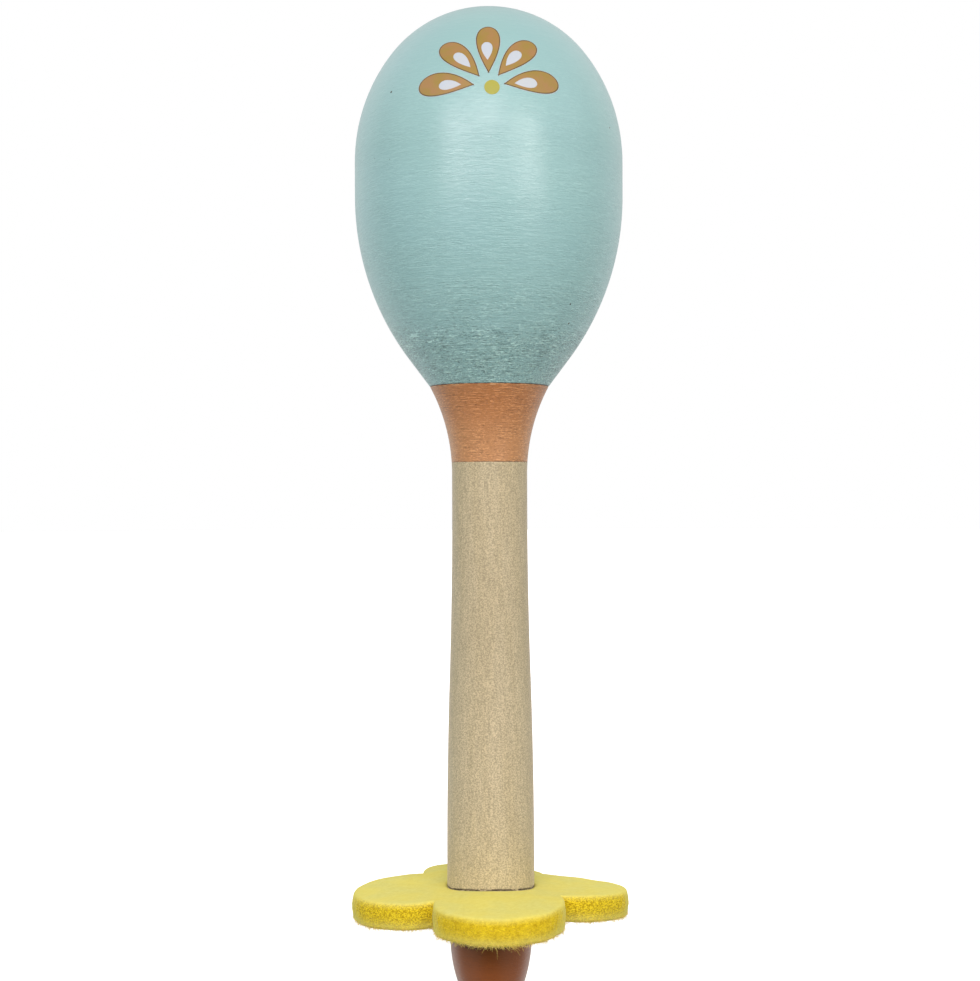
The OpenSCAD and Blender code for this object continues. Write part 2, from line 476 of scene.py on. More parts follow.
@dataclass(frozen=True)
class PaintFinish(Finish):
    """Satin paint over turned wood, with light and dark lines round the axis."""

    cloud: Colour = WHITE  # what the slow mottle turns it to
    mottle: float = 55.0  # cells of that mottle to a metre
    streaks: float = 44.0  # line cells to a radian round the axis
    rings: float = 5600.0  # line cells to a metre along the outline
    window: Point = (0.45, 0.525)  # where the dark lines end and the light ones start
    shares: tuple[Point, ...] = ((0.0, 1.0), (1.0, 1.0))  # heights in metres, and line strength
    swing: float = 0.3  # how much lighter or darker the lines are where they show fully
    worn: float = 0.0  # how far the light lines are worn through to the ground
    depth: float = 0.08  # height of the lines, in millimetres
    ripple: float = 0.03  # height of the lacquer's slow ripples, in millimetres
    ripples: Point = (350.0, 1400.0)  # their cells to a metre across and along the axis
    painted_shade: Point | None = None  # heights in metres between which a darker colour takes over: painted shade under the part above
    painted_shade_colour: Colour = WHITE  # that colour of painted shade
    joints: tuple[float, ...] = ()  # heights of the joints with other pieces, in metres
    joint_width: float = 0.00022  # of the dark line there, in metres
    seam: Colour = (0.05, 0.03, 0.01)  # of that line, and of the specks
    bare: Colour = (0.7, 0.6, 0.45)  # of the chips at a joint, and of the ground
    chips: float = 0.8  # how far the chips show
    speck: Point = (260.0, 0.06)  # speck cells to a metre, and a speck's size in its cell
    speck_share: float = 0.05  # share of the cells with a speck
    coat: float = 0.2  # weight of the clear coat
    gloss: float = 0.08  # how much smoother the light lines are than the dark ones

    def dress(self, coat: Coat) -> None:
        """Adds the lines, the mottle, the painted shade, the specks and the joints.

        Args:
            coat: The material in the making.
        """
        dark, light = self.window
        window = {"dark": dark, "light": light}
        lines = coat.use(Effect.TURNING, streaks=self.streaks, rings=self.rings, **window)["Tone"]
        mottle = coat.use(Effect.MOTTLE, scale=self.mottle)["Tone"]
        colour = coat.mix(mottle * 0.5, self.colour, self.cloud)
        # Painted shade: the colour darkens towards the top, under the part that hangs over it.
        if self.painted_shade:
            colour = coat.mix(coat.remap(coat.axis("Z"), *self.painted_shade), colour, self.painted_shade_colour)
        share = coat.ramp(coat.axis("Z"), self.shares)
        colour = coat.tint(colour, lines, share * self.swing)
        worn = coat.remap(lines, 0.5, 1.0) * (share * self.worn)
        colour = coat.mix(worn, colour, self.bare)
        spacing, size = self.speck
        specks = coat.use(Effect.SPECKS, spacing=spacing, size=size, share=self.speck_share)
        colour = coat.mix(specks["Mask"], colour, self.seam)
        for joint in self.joints:
            edge = coat.use(Effect.EDGE, edge=joint, width=self.joint_width)
            colour = coat.mix(edge["Line"] * 0.75, colour, self.seam)
            colour = coat.mix(edge["Chips"] * self.chips, colour, self.bare)
        across, along = self.ripples
        ripples = coat.use(Effect.FLECKS, across=across, along=along)["Height"]
        coat.bump(ripples * (self.ripple / self.depth) + lines * share, self.depth)
        coat.set({
            "Base Color": colour,
            "Roughness": lines * -self.gloss + (self.roughness + self.gloss / 2),
            "Coat Weight": self.coat,
            "Coat Roughness": 0.3,
            "Anisotropic": 0.5,
            "Anisotropic Rotation": 0.25,
        })


@dataclass(frozen=True)
class WoodFinish(Finish):
    """Bare, sanded, close-grained wood."""

    pale: Colour = (0.8, 0.7, 0.5)  # of the pale figure
    across: float = 3600.0  # flecks to a metre across the grain
    along: float = 3800.0  # flecks to a metre along the grain
    fibre: Point = (0.6, 0.06)  # shares of those two counts for the longer fibres
    figure: Point = (0.08, 0.008)  # and for the slow figure
    swing: float = 0.24  # how much lighter or darker the flecks are
    depth: float = 0.06  # height of the grain, in millimetres
    sheen: float = 0.3  # weight of the soft gleam at its edges
    sheen_tint: Colour = (1.0, 0.84, 0.76)
    painted_bounce: tuple[Point, ...] = ((0.0, 0.5), (1.0, 0.5))  # heights in metres, and how light it is there: painted bounce light from the felt
    joint: float = 0.0  # height in front of the painted shadow line where it meets the felt, in metres
    joint_width: float = 0.00035
    dip: float = 0.0  # how much lower that line is at the sides
    seam: Colour = (0.05, 0.03, 0.01)  # of that painted shadow line

    def dress(self, coat: Coat) -> None:
        """Adds the flecks, the fibres, the faint figure, a painted bounce light low down and a
        painted shadow line at the felt.

        Args:
            coat: The material in the making.
        """
        grain, fibre, figure = (
            coat.use(Effect.FLECKS, across=self.across * across, along=self.along * along)
            for across, along in ((1.0, 1.0), self.fibre, self.figure)
        )
        colour = coat.mix(figure["Tone"] * 0.4, self.colour, self.pale)
        colour = coat.tint(colour, fibre["Tone"], self.swing * 0.25)
        colour = coat.tint(colour, grain["Tone"], self.swing)
        # Painted bounce light: the wood is lighter towards its foot, over the felt.
        colour = coat.tint(colour, coat.ramp(coat.axis("Z"), self.painted_bounce), 1.0)
        edge = coat.use(Effect.EDGE, edge=self.joint, width=self.joint_width, dip=self.dip)
        coat.bump(grain["Height"], self.depth)
        coat.set({
            # The line at the felt is a painted shadow in the gap where the handle presses into the
            # felt.
            "Base Color": coat.mix(edge["Line"], colour, self.seam),
            "Roughness": grain["Tone"] * 0.12 + (self.roughness - 0.06),
            "Sheen Weight": self.sheen,
            "Sheen Roughness": 0.35,
            "Sheen Tint": self.sheen_tint,
        })


@dataclass(frozen=True)
class FeltFinish(Finish):
    """Thick wool felt with a smooth face and a fibrous cut edge."""

    hollow: Colour  # between the fibres of the face
    cut: Colour  # of the cut edge
    cut_hollow: Colour  # between the fibres of the cut edge
    rim: Colour  # of the cut edge where it turns away from the eye: a painted sheen
    sheen: float  # weight of the soft sheen
    brushed: Point = (-0.024, -0.014)  # from there to there, front to back, the cut turns coarse
    smooth: float = 0.35  # how coarse it is in front
    depth: float = 0.12  # height of the face's nap, in millimetres
    cut_depth: float = 2.4  # how much deeper the cut's tufts are

    def dress(self, coat: Coat) -> None:
        """Mixes the face and the cut edge by the mesh's own marks, and paints a sheen where the
        edge turns away.

        Args:
            coat: The material in the making.
        """
        nap = coat.use(Effect.NAP, scale=1100.0, stretch=7.0)
        tufts = coat.use(Effect.NAP, scale=3800.0, stretch=2.0)
        layers = coat.use(Effect.FLECKS, across=2700.0, along=4200.0)["Tone"]
        mottle = coat.use(Effect.MOTTLE, scale=170.0)["Tone"]
        face = coat.mix(nap["Tone"] * 0.5 + 0.35, self.hollow, self.colour)
        face = coat.mix(mottle * 0.2, face, self.cut)
        coarse = coat.remap(coat.axis("Y"), *self.brushed, self.smooth, 1.0)
        tone = coat.remap(layers * 0.45 + tufts["Tone"] * 0.55, 0.2, 0.8) * coarse
        tone = tone + nap["Tone"] * (coarse * -0.75 + 0.75)
        edge = coat.mix(tone, self.cut_hollow, self.cut)
        # Painted sheen: the cut edge turns paler where it faces away from the eye.
        turned = coat.add("LayerWeight", {"Blend": 0.5}, "Facing")
        edge = coat.mix(coat.remap(turned, 0.45, 0.95), edge, self.rim)
        side = coat.attribute("cut")
        deep = tufts["Height"] * (side * (coarse * self.cut_depth))
        coat.bump(nap["Height"] * (1.0 - side) + deep, self.depth)
        coat.set({
            # The paler face is partly a painted sheen of the nap.
            "Base Color": coat.mix(side, face, edge),
            "Sheen Weight": self.sheen,
            "Sheen Roughness": 0.5,
            "Sheen Tint": self.colour,
            "Specular IOR Level": 0.2,
        })


@dataclass(frozen=True)
class InkFinish(Finish):
    """Flat printing ink, a little uneven."""

    thin: Colour  # where the ink is thin

    def dress(self, coat: Coat) -> None:
        """Adds the thin places and a faint grain.

        Args:
            coat: The material in the making.
        """
        mottle = coat.use(Effect.MOTTLE, scale=420.0)["Tone"]
        grain = coat.use(Effect.NAP, scale=5200.0, stretch=2.0)
        colour = coat.mix(mottle * 0.9, self.colour, self.thin)
        coat.bump(grain["Height"], 0.006)
        coat.set({
            "Base Color": coat.mix(grain["Tone"] * 0.12, colour, self.thin),
            "Roughness": mottle * 0.1 + (self.roughness - 0.05),
        })


@dataclass(frozen=True)
class SeedFinish(Finish):
    """Dry round pellets, speckled like seeds."""

    spot: Colour  # of the speckles

    def dress(self, coat: Coat) -> None:
        """Adds the speckles to the skin.

        Args:
            coat: The material in the making.
        """
        specks = coat.use(Effect.SPECKS, spacing=1900.0, size=0.34, share=0.4)["Mask"]
        mottle = coat.use(Effect.MOTTLE, scale=700.0)["Tone"]
        coat.bump(mottle, 0.03)
        coat.set({
            "Base Color": coat.mix(specks * 0.5 + mottle * 0.3, self.colour, self.spot),
            "Roughness": mottle * 0.15 + self.roughness,
        })


MINT = PaintFinish(
    name="mint_paint",
    colour=linear(145, 186, 185),
    roughness=0.33,
    cloud=linear(146, 187, 183),
    streaks=56.0,
    window=(0.445, 0.51),
    shares=(
        (0.124, 1.0), (0.131, 0.95), (0.1365, 0.34), (0.146, 0.16),
        (0.16, 0.12), (0.178, 0.07), (0.19, 0.02),
    ),
    swing=0.7,
    depth=0.3,
    ripple=0.09,
    worn=0.35,
    joints=(0.124,),
    seam=linear(60, 62, 50),
    bare=linear(206, 226, 208),
    chips=0.5,
    speck_share=0.25,
    coat=0.12,
)
TERRACOTTA = PaintFinish(
    name="terracotta_paint",
    colour=linear(184, 133, 86),
    roughness=0.42,
    cloud=linear(187, 136, 90),
    streaks=30.0,
    window=(0.45, 0.52),
    shares=((0.1087, 0.9), (0.122, 1.0)),
    swing=0.48,
    worn=0.12,
    # Painted shade: the collar is darker at its top, under the head's overhang.
    painted_shade=(0.1105, 0.122),
    painted_shade_colour=linear(177, 118, 69),
    joints=(0.124, 0.1087),
    seam=linear(80, 46, 24),
    bare=linear(226, 190, 140),
    chips=0.7,
    speck_share=0.03,
    coat=0.06,
)
# The collar's terracotta, painted darker as shade of the felt that hangs over the knob.
KNOB_PAINT = PaintFinish(
    name="knob_paint",
    colour=linear(143, 78, 32),
    roughness=0.36,
    cloud=linear(147, 81, 36),
    streaks=14.0,
    rings=3000.0,
    swing=0.06,
    depth=0.03,
    # Painted shadow of the felt on the knob's top.
    painted_shade=(0.0118, 0.013),
    painted_shade_colour=linear(50, 22, 4),
    speck_share=0.02,
    coat=0.15,
)
BARE_WOOD = WoodFinish(
    name="bare_wood",
    colour=linear(178, 166, 131),
    roughness=0.62,
    pale=linear(188, 177, 145),
    # Painted bounce light from the felt: lighter towards the foot.
    painted_bounce=((0.024, 0.54), (0.05, 0.54), (0.075, 0.5)),
    # Painted shadow line where the handle presses into the felt.
    joint=0.02425,
    dip=0.00095,
    seam=linear(40, 30, 10),
)
DOWEL_WOOD = WoodFinish(
    name="dowel_wood",
    colour=linear(205, 180, 140),
    roughness=0.65,
    pale=linear(215, 195, 160),
    across=1600.0,
    along=300.0,
)
# A paler copy of the felt: painted light, so that the loose fibres show bright in the shade under
# the felt.
LOOSE_WOOL = FeltFinish(
    name="loose_wool",
    colour=linear(252, 232, 140),
    roughness=0.9,
    hollow=linear(246, 218, 100),
    cut=linear(246, 214, 40),
    cut_hollow=linear(190, 148, 10),
    rim=linear(246, 226, 120),
    sheen=0.6,
)
# The face is paler than the cut edge, partly as a painted sheen of the nap seen at a grazing angle.
FELT = FeltFinish(
    name="wool_felt",
    colour=linear(225, 221, 129),
    roughness=0.95,
    hollow=linear(209, 202, 97),
    cut=linear(247, 224, 45),
    cut_hollow=linear(178, 144, 2),
    rim=linear(226, 216, 110),
    sheen=0.2,
)
OCHRE_INK = InkFinish("ochre_ink", linear(149, 128, 58), 0.5, thin=linear(160, 121, 76))
CREAM_INK = InkFinish("cream_ink", linear(185, 197, 206), 0.5, thin=linear(188, 196, 198))
RIM_INK = InkFinish("rim_ink", linear(92, 80, 44), 0.5, thin=linear(104, 86, 50))
YELLOW_INK = InkFinish("yellow_ink", linear(162, 160, 56), 0.5, thin=linear(158, 158, 66))
SEED = SeedFinish("seed_pellet", linear(205, 180, 130), 0.55, spot=linear(130, 96, 60))


class Palette:
    """Builds the shared effects, and each finish's material, once."""

    def __init__(self) -> None:
        """Builds the effects."""
        self.effects = {effect: kind(effect.value).tree for effect, kind in EFFECTS.items()}
        self.made: dict[str, bpy.types.Material] = {}

    def get(self, finish: Finish) -> bpy.types.Material:
        """Gives a finish's material, which is built at the first call.

        Args:
            finish: The finish.

        Returns:
            Its material.
        """
        if finish.name not in self.made:
            coat = Coat(finish, self.effects)
            finish.dress(coat)
            self.made[finish.name] = coat.material
        return self.made[finish.name]


# ---- meshes ----


@dataclass
class MeshParts:
    """A mesh in the making, in metres."""

    points: list[Spot] = field(default_factory=list)
    faces: list[tuple[int, ...]] = field(default_factory=list)
    finishes: list[int] = field(default_factory=list)  # each face's material
    marks: dict[str, list[float]] = field(default_factory=dict)  # numbers at the points, by name
    uvs: list[Point] = field(default_factory=list)  # each face corner's place on the bake's map

    def build(self, name: str, sharp: float = 35.0) -> bpy.types.Object:
        """Makes the object.

        Args:
            name: The piece's name.
            sharp: Edges sharper than this many degrees stay crisp.

        Returns:
            The object, linked to the scene.
        """
        mesh = bpy.data.meshes.new(name)
        mesh.from_pydata(self.points, [], self.faces)
        mesh.polygons.foreach_set("use_smooth", [True] * len(self.faces))
        if self.finishes:
            mesh.polygons.foreach_set("material_index", self.finishes)
        if self.uvs:
            layer = mesh.uv_layers.new(name=UV_NAME)
            layer.data.foreach_set("uv", np.array(self.uvs, np.float32).ravel())
        for title, values in self.marks.items():
            mesh.attributes.new(title, "FLOAT", "POINT").data.foreach_set("value", values)
        mesh.update()
        mesh.set_sharp_from_angle(angle=math.radians(sharp))
        piece = bpy.data.objects.new(name, mesh)
        bpy.context.scene.collection.objects.link(piece)
        return piece

    def dressed(
        self, name: str, materials: list[bpy.types.Material], slot: Slot | None = None,
        nodes: tuple[str, ...] = (), sharp: float = 35.0,
    ) -> bpy.types.Object:
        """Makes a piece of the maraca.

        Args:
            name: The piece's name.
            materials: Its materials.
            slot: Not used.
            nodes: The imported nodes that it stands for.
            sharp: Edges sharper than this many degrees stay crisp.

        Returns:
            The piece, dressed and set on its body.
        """
        piece = self.build(name, sharp)
        for material in materials:
            piece.data.materials.append(material)
        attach(piece, BODY)
        if nodes:
            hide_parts(*nodes)
        return piece


# ---- turned wood ----


def arc(centre: Point, radius: float, start: float, end: float, step: float) -> Profile:
    """Samples a circular arc of an outline, both ends included.

    Args:
        centre: Radius and height of its centre, in millimetres.
        radius: Its radius.
        start: Its first angle above the level, in degrees.
        end: Its last angle.
        step: Longest step along it.

    Returns:
        Its points.
    """
    first, last = math.radians(start), math.radians(end)
    count = max(2, math.ceil(abs(last - first) * abs(radius) / step))
    angles = np.linspace(first, last, count + 1)
    return [(centre[0] + radius * math.cos(a), centre[1] + radius * math.sin(a)) for a in angles]


def line(start: Point, end: Point, step: float) -> Profile:
    """Samples a straight stretch of an outline, both ends included, in steps no longer than one."""
    shares = np.linspace(0.0, 1.0, max(1, math.ceil(math.dist(start, end) / step)) + 1)
    return [tuple(a + (b - a) * s for a, b in zip(start, end)) for s in shares]


def soften(before: Point, corner: Point, after: Point, size: float) -> Profile:
    """Rounds a corner of an outline.

    Args:
        before: A point on the side that leads to the corner.
        corner: The corner.
        after: A point on the side that leads away.
        size: How far from the corner the rounding starts, in millimetres.

    Returns:
        Points of the rounding, from the first side to the second.
    """
    ends = []
    for point in (before, after):
        share = size / math.dist(point, corner)
        ends.append([c + (p - c) * share for p, c in zip(point, corner)])
    sides = list(zip(ends[0], corner, ends[1]))
    turns = np.linspace(0.0, 1.0, 5)
    return [
        tuple((1 - t) ** 2 * a + 2 * t * (1 - t) * c + t * t * b for a, c, b in sides)
        for t in turns
    ]


@dataclass
class Stretch:
    """A run of a turned outline with one of the piece's finishes, by its index."""

    points: Profile
    finish: int = 0


@dataclass
class TurnedPiece:
    """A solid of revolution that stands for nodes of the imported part."""

    name: str
    nodes: tuple[str, ...]
    slot: Slot
    finishes: tuple[Finish, ...]
    segments: int = 224  # facets round the axis
    step: float = 0.6  # longest step along the outline
    on_axis: float = 1e-6  # a smaller radius is none
    outside: float = 0.75  # share of the bake's map that the first of two shells takes
    margin: float = 0.004  # and the room round each

    def shells(self) -> list[list[Stretch]]:
        """Gives the closed outlines that are turned."""
        raise NotImplementedError

    def _turn(self, parts: MeshParts, shell: list[Stretch], low: float, high: float) -> None:
        """Turns one outline into a closed surface.

        Args:
            parts: The mesh that it goes into.
            shell: The outline, down the outside, from the axis to the axis or as a loop. A
                hollow's outline runs up.
            low: Where its map starts across the bake.
            high: Where its map ends.
        """
        outline, finish = [shell[0].points[0]], []
        for stretch in shell:
            outline += stretch.points[1:]
            finish += [stretch.finish] * (len(stretch.points) - 1)
        steps = [math.dist(a, b) for a, b in zip(outline, outline[1:])]
        along = np.concatenate([[0.0], np.cumsum(steps)])
        share = low + (high - low) * along / along[-1]
        loop = outline[0][0] > self.on_axis
        rings: list[list[int]] = []
        for index, (radius, height) in enumerate(outline):
            if loop and index == len(outline) - 1:
                rings.append(rings[0])
                continue
            first, count = len(parts.points), self.segments if radius > self.on_axis else 1
            for k in range(count):
                angle = TURN * k / count
                x, y = radius * math.cos(angle), radius * math.sin(angle)
                parts.points.append((x * MM, y * MM, height * MM))
                parts.marks["along"].append(float(along[index]) * MM)
            rings.append(list(range(first, first + count)))
        for index, (upper, lower) in enumerate(zip(rings, rings[1:])):
            v0, v1 = share[index], share[index + 1]
            for k in range(self.segments):
                n, u0, u1 = (k + 1) % self.segments, k / self.segments, (k + 1) / self.segments
                middle = (u0 + u1) / 2
                if len(upper) == 1:
                    face, uv = (upper[0], lower[k], lower[n]), [(middle, v0), (u0, v1), (u1, v1)]
                elif len(lower) == 1:
                    face, uv = (upper[k], lower[0], upper[n]), [(u0, v0), (middle, v1), (u1, v0)]
                else:
                    face = (upper[k], lower[k], lower[n], upper[n])
                    uv = [(u0, v0), (u0, v1), (u1, v1), (u1, v0)]
                parts.faces.append(face)
                parts.finishes.append(finish[index])
                parts.uvs += uv

    def build(self, palette: Palette) -> bpy.types.Object:
        """Turns the piece, dresses it and sets it on its body.

        Args:
            palette: Where its materials come from.

        Returns:
            The piece.
        """
        parts, shells = MeshParts(marks={"along": []}), self.shells()
        splits = [0.0, self.outside, 1.0] if len(shells) == 2 else [0.0, 1.0]
        for shell, low, high in zip(shells, splits, splits[1:]):
            self._turn(parts, shell, low + self.margin, high - self.margin)
        materials = [palette.get(finish) for finish in self.finishes]
        return parts.dressed(self.name, materials, self.slot, self.nodes)


@dataclass
class Head(TurnedPiece):
    """The hollow painted head, outside and inside, as arcs that run into each other."""

    radius: float = 27.0  # of the widest band
    shoulder: float = 35.0  # radius of the arc over the band
    shoulder_z: float = 169.0  # where that arc starts
    crown: float = 25.0  # radius of the crown's arc
    crown_z: float = 175.0  # height of its centre
    belly: float = 54.0  # radius of the arc under the band
    band_z: float = 162.0  # where that arc starts
    slant: float = math.degrees(math.atan(0.75))  # of the taper and of the arcs' ends, in degrees
    neck: float = 12.0
    neck_z: float = 124.0
    wall: float = 4.0
    floor_z: float = 135.0  # of the chamber
    socket: float = 4.5  # radius of the tenon's socket
    socket_z: float = 133.0
    edge: float = 0.2  # rounding of the lower edge
    coarse: float = 4.0  # how much longer the steps inside are

    def dome(self, inset: float, step: float, low: float) -> Profile:
        """Gives the egg's outline, from the crown down.

        Args:
            inset: How far it lies inside the painted surface, in millimetres.
            step: Longest step along it.
            low: Angle at which the belly's arc ends, in degrees.

        Returns:
            Its points.
        """
        crown = arc((0.0, self.crown_z), self.crown - inset, 90.0, self.slant, step)
        shoulder_at = (self.radius - self.shoulder, self.shoulder_z)
        shoulder = arc(shoulder_at, self.shoulder - inset, self.slant, 0.0, step)
        edge = self.radius - inset
        band = line((edge, self.shoulder_z), (edge, self.band_z), step)
        belly = arc((self.radius - self.belly, self.band_z), self.belly - inset, 0.0, low, step)
        return [(0.0, crown[0][1]), *crown[1:], *shoulder[1:], *band[1:], *belly[1:]]

    def shells(self) -> list[list[Stretch]]:
        """Gives the painted outside with the socket, and the bare chamber.

        Returns:
            The outlines, each as its stretches.
        """
        outside = self.dome(0.0, self.step, -self.slant)
        mouth = (self.socket, self.neck_z)
        rim = soften(outside[-1], (self.neck, self.neck_z), mouth, self.edge)
        outside += line(outside[-1], rim[0], self.step)[1:] + rim[1:]
        hidden = [rim[-1], mouth, (self.socket, self.socket_z), (0.0, self.socket_z)]
        rise = (self.band_z - self.floor_z) / (self.belly - self.wall)
        chamber = self.dome(self.wall, self.coarse * self.step, -math.degrees(math.asin(rise)))
        chamber.append((0.0, self.floor_z))
        return [[Stretch(outside, 0), Stretch(hidden, 1)], [Stretch(chamber[::-1], 1)]]

    def radius_at(self, height: float) -> float:
        """Gives the painted surface's radius at a height above the band.

        Args:
            height: The height, in millimetres.

        Returns:
            The radius there.
        """
        meet = self.crown_z + self.crown * math.sin(math.radians(self.slant))
        if height >= meet:
            return math.sqrt(max(0.0, self.crown**2 - (height - self.crown_z) ** 2))
        rise = max(0.0, height - self.shoulder_z)
        return self.radius - self.shoulder + math.sqrt(self.shoulder**2 - rise**2)


@dataclass
class FlaredPiece(TurnedPiece):
    """A piece with a stretch of the hollow flare that runs from the head to the handle's waist."""

    flare: float = 37.4  # radius of the flare's arc
    flare_at: Point = (45.0, 106.4)  # radius and height of its centre
    joint_z: float = 108.7  # where the collar ends and the handle starts
    joint_edge: float = 0.08  # rounding there
    tenon: float = 4.5  # radius of the tenon, and of its bore

    def lean(self, height: float) -> float:
        """Gives the angle at which the flare's arc passes a height, in degrees."""
        return 180.0 - math.degrees(math.asin((height - self.flare_at[1]) / self.flare))


@dataclass
class Collar(FlaredPiece):
    """The flared neck collar, bored for the handle's tenon."""

    top_z: float = 124.0  # of the head's edge
    edge: float = 0.2  # rounding of the upper edge

    def shells(self) -> list[list[Stretch]]:
        """Gives the painted flare and the bore as one loop.

        Returns:
            The outlines, each as its stretches.
        """
        high, low = self.lean(self.top_z), self.lean(self.joint_z)
        side = arc(self.flare_at, self.flare, high, low, self.step)
        inner_top, inner_foot = (self.tenon, self.top_z), (self.tenon, self.joint_z)
        brow = soften(inner_top, side[0], side[1], self.edge)
        heel = soften(side[-2], side[-1], inner_foot, self.joint_edge)
        side = [*brow, *side[1:-1], *heel]
        return [[Stretch(side, 0), Stretch([side[-1], inner_foot, inner_top, side[0]], 1)]]


@dataclass
class Handle(FlaredPiece):
    """The waisted handle, with its tenon and the dowel's socket."""

    waist: float = 7.6
    swell: float = 1080.3  # radius of the two arcs of the swell
    swell_z: Spot = (101.2, 65.2, 29.2)  # where the swell starts, turns and ends
    butt: float = 8.8
    butt_z: float = 22.9  # the butt is pressed into the felt
    edge: float = 0.4  # rounding of the butt
    fine: float = 0.1  # longest step along that rounding
    tenon_z: float = 132.0  # of the tenon's end
    socket: float = 4.0  # radius of the dowel's socket
    socket_z: float = 37.2

    def shells(self) -> list[list[Stretch]]:
        """Gives the tenon, the grip and the socket as one outline.

        Returns:
            The outlines, each as its stretches.
        """
        start, turn, end = self.swell_z
        grip = arc(self.flare_at, self.flare, self.lean(self.joint_z), 180.0, self.step)
        grip += line((self.waist, self.flare_at[1]), (self.waist, start), self.step)[1:]
        sweep = math.degrees(math.asin((start - turn) / self.swell))
        upper, lower = (self.waist + self.swell, start), (self.butt - self.swell, end)
        grip += arc(upper, self.swell, 180.0, 180.0 + sweep, self.step)[1:]
        grip += arc(lower, self.swell, sweep, 0.0, self.step)[1:]
        grip += line((self.butt, end), (self.butt, self.butt_z + self.edge), self.step)[1:]
        corner = (self.butt - self.edge, self.butt_z + self.edge)
        grip += arc(corner, self.edge, 0.0, -90.0, self.fine)[1:]
        neck = (self.tenon, self.joint_z)
        grip = [*soften(neck, grip[0], grip[1], self.joint_edge), *grip[1:]]
        tenon = [(0.0, self.tenon_z), (self.tenon, self.tenon_z), neck, grip[0]]
        socket = [(self.socket, self.butt_z), (self.socket, self.socket_z), (0.0, self.socket_z)]
        return [[Stretch(tenon), Stretch(grip), Stretch([grip[-1], *socket])]]


@dataclass
class Knob(TurnedPiece):
    """The barrel-shaped end knob with its rounded foot."""

    radius: float = 8.25
    height: float = 19.2
    belly_z: float = 13.0  # of the widest line
    barrel: float = 29.0  # radius of the side's arc
    foot: float = 3.25  # radius of the flat foot
    foot_round: float = 3.0
    foot_step: float = 0.3  # longest step along that rounding
    edge: float = 0.4  # rounding of the upper edge
    fine: float = 0.1  # longest step along that rounding
    socket: float = 4.0  # radius of the dowel's socket
    socket_z: float = 7.2

    def shells(self) -> list[list[Stretch]]:
        """Gives the foot, the side and the socket as one outline.

        Returns:
            The outlines, each as its stretches.
        """
        rise = (self.belly_z - self.foot_round) / (self.barrel - self.foot_round)
        meet = -math.degrees(math.asin(rise))
        foot = arc((self.foot, self.foot_round), self.foot_round, -90.0, meet, self.foot_step)
        upper = math.degrees(math.asin((self.height - self.edge - self.belly_z) / self.barrel))
        side = arc((self.radius - self.barrel, self.belly_z), self.barrel, meet, upper, self.step)
        reach = side[-1][0] - self.edge
        rim = arc((reach, self.height - self.edge), self.edge, upper, 90.0, self.fine)
        painted = [(0.0, 0.0), *foot, *side[1:], *rim[1:]][::-1]
        floor = [(0.0, self.socket_z), (self.socket, self.socket_z)]
        inner = [*floor, (self.socket, self.height), painted[0]]
        return [[Stretch(inner, 1), Stretch(painted, 0)]]


# ---- felt ----


